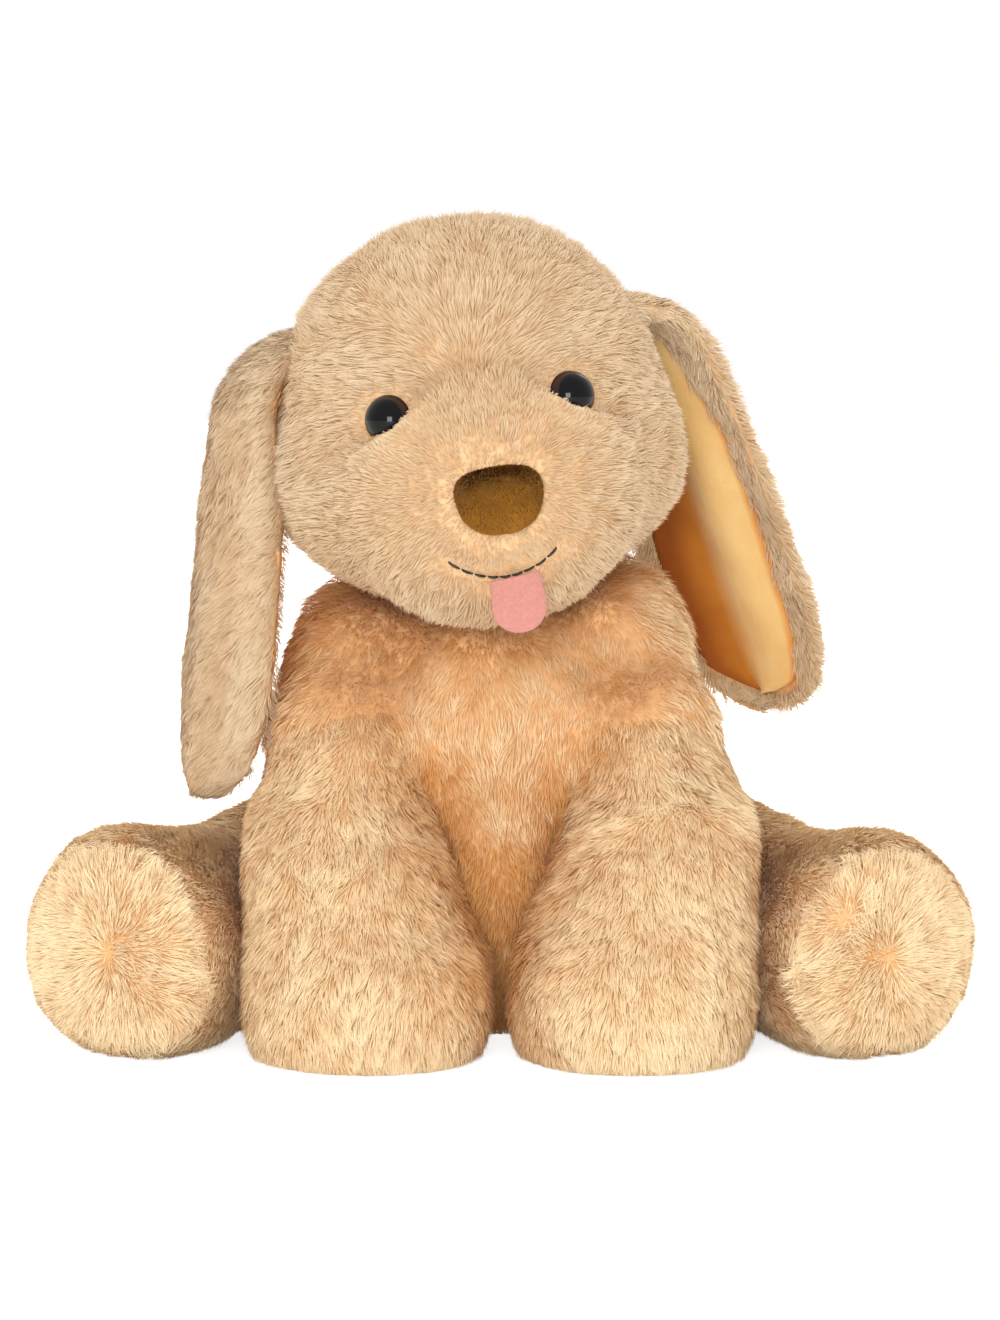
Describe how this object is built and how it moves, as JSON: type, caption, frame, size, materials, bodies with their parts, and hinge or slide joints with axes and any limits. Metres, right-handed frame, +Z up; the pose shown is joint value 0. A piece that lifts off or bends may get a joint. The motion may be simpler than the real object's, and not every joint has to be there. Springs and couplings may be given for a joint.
{
  "type": "plush dog",
  "caption": "Sitting plush dog with floppy lined ears, stuffed jointed limbs, domed eyes, padded nose and felt tongue.",
  "frame": {"origin": "on the ground under the middle of the bounding box", "axes": "+Z up, the dog looks along -Y, its left side is +X"},
  "size_m": [0.294, 0.1877, 0.2583],
  "materials": {
    "body_plush": "long pile plush",
    "head_plush": "long pile plush",
    "ear_plush": "long pile plush",
    "ear_lining": "smooth short velour",
    "fibre_filling": "loose polyester fibre",
    "pellet_bag": "plain woven bag of plastic pellets",
    "eye_plastic": "polished",
    "washer_plastic": "moulded",
    "nose_velour": "short velour",
    "mouth_thread": "stitched thread",
    "tongue_felt": "pressed felt"
  },
  "bodies": {
    "torso": {"torso_cover": "body_plush", "torso_filling": "fibre_filling", "seat_pellet_bag": "pellet_bag"},
    "neck": {"neck_filling": "fibre_filling"},
    "head": {"head_cover": "head_plush", "head_filling": "fibre_filling", "eye_left": "eye_plastic", "eye_right": "eye_plastic", "eye_washer_left": "washer_plastic", "eye_washer_right": "washer_plastic", "nose": "nose_velour", "mouth_stitch": "mouth_thread"},
    "tongue": {"tongue": "tongue_felt"},
    "ear_left": {"ear_left_outer": "ear_plush", "ear_left_lining": "ear_lining"},
    "ear_right": {"ear_right_outer": "ear_plush", "ear_right_lining": "ear_lining"},
    "front_leg_left": {"front_leg_left_cover": "body_plush", "front_leg_left_filling": "fibre_filling", "front_leg_left_pellet_bag": "pellet_bag"},
    "front_leg_right": {"front_leg_right_cover": "body_plush", "front_leg_right_filling": "fibre_filling", "front_leg_right_pellet_bag": "pellet_bag"},
    "hind_leg_left": {"hind_leg_left_cover": "body_plush", "hind_leg_left_filling": "fibre_filling", "hind_leg_left_pellet_bag": "pellet_bag"},
    "hind_leg_right": {"hind_leg_right_cover": "body_plush", "hind_leg_right_filling": "fibre_filling", "hind_leg_right_pellet_bag": "pellet_bag"},
    "tail": {"tail_cover": "body_plush", "tail_filling": "fibre_filling"}
  },
  "joints": [
    {"name": "head_turn", "type": "hinge", "parent": "torso", "child": "neck", "pos_m": [-0.003, 0.008, 0.146], "axis": [0, 0, 1], "range_deg": [-25, 25], "stiffness_Nm_per_rad": 0.08},
    {"name": "head_nod", "type": "hinge", "parent": "neck", "child": "head", "pos_m": [-0.003, 0.008, 0.146], "axis": [-1, 0, 0], "range_deg": [0, 15]},
    {"name": "tongue_flap", "type": "hinge", "parent": "head", "child": "tongue", "pos_m": [0.00456, -0.08093, 0.15186], "axis": [-0.9896, -0.061, -0.1303], "range_deg": [0, 60]},
    {"name": "ear_left_lift", "type": "hinge", "parent": "head", "child": "ear_left", "pos_m": [0.04739, 0.00871, 0.22916], "axis": [0.6157, -0.788, 0], "range_deg": [0, 60]},
    {"name": "ear_right_lift", "type": "hinge", "parent": "head", "child": "ear_right", "pos_m": [-0.07203, 0.00076, 0.21817], "axis": [-0.3746, 0.9272, 0], "range_deg": [0, 70]},
    {"name": "front_leg_left_swing", "type": "hinge", "parent": "torso", "child": "front_leg_left", "pos_m": [0.049, -0.017, 0.098], "axis": [-1, 0, 0], "range_deg": [0, 45]},
    {"name": "front_leg_right_swing", "type": "hinge", "parent": "torso", "child": "front_leg_right", "pos_m": [-0.049, -0.017, 0.098], "axis": [-1, 0, 0], "range_deg": [0, 45]},
    {"name": "hind_leg_left_splay", "type": "hinge", "parent": "torso", "child": "hind_leg_left", "pos_m": [0.065, 0.045, 0.038], "axis": [0, 0, 1], "range_deg": [0, 35]},
    {"name": "hind_leg_right_splay", "type": "hinge", "parent": "torso", "child": "hind_leg_right", "pos_m": [-0.065, 0.045, 0.038], "axis": [0, 0, -1], "range_deg": [0, 35]},
    {"name": "tail_wag", "type": "hinge", "parent": "torso", "child": "tail", "pos_m": [0, 0.075, 0.022], "axis": [0, 1, 0], "range_deg": [-25, 25], "stiffness_Nm_per_rad": 0.02}
  ]
}
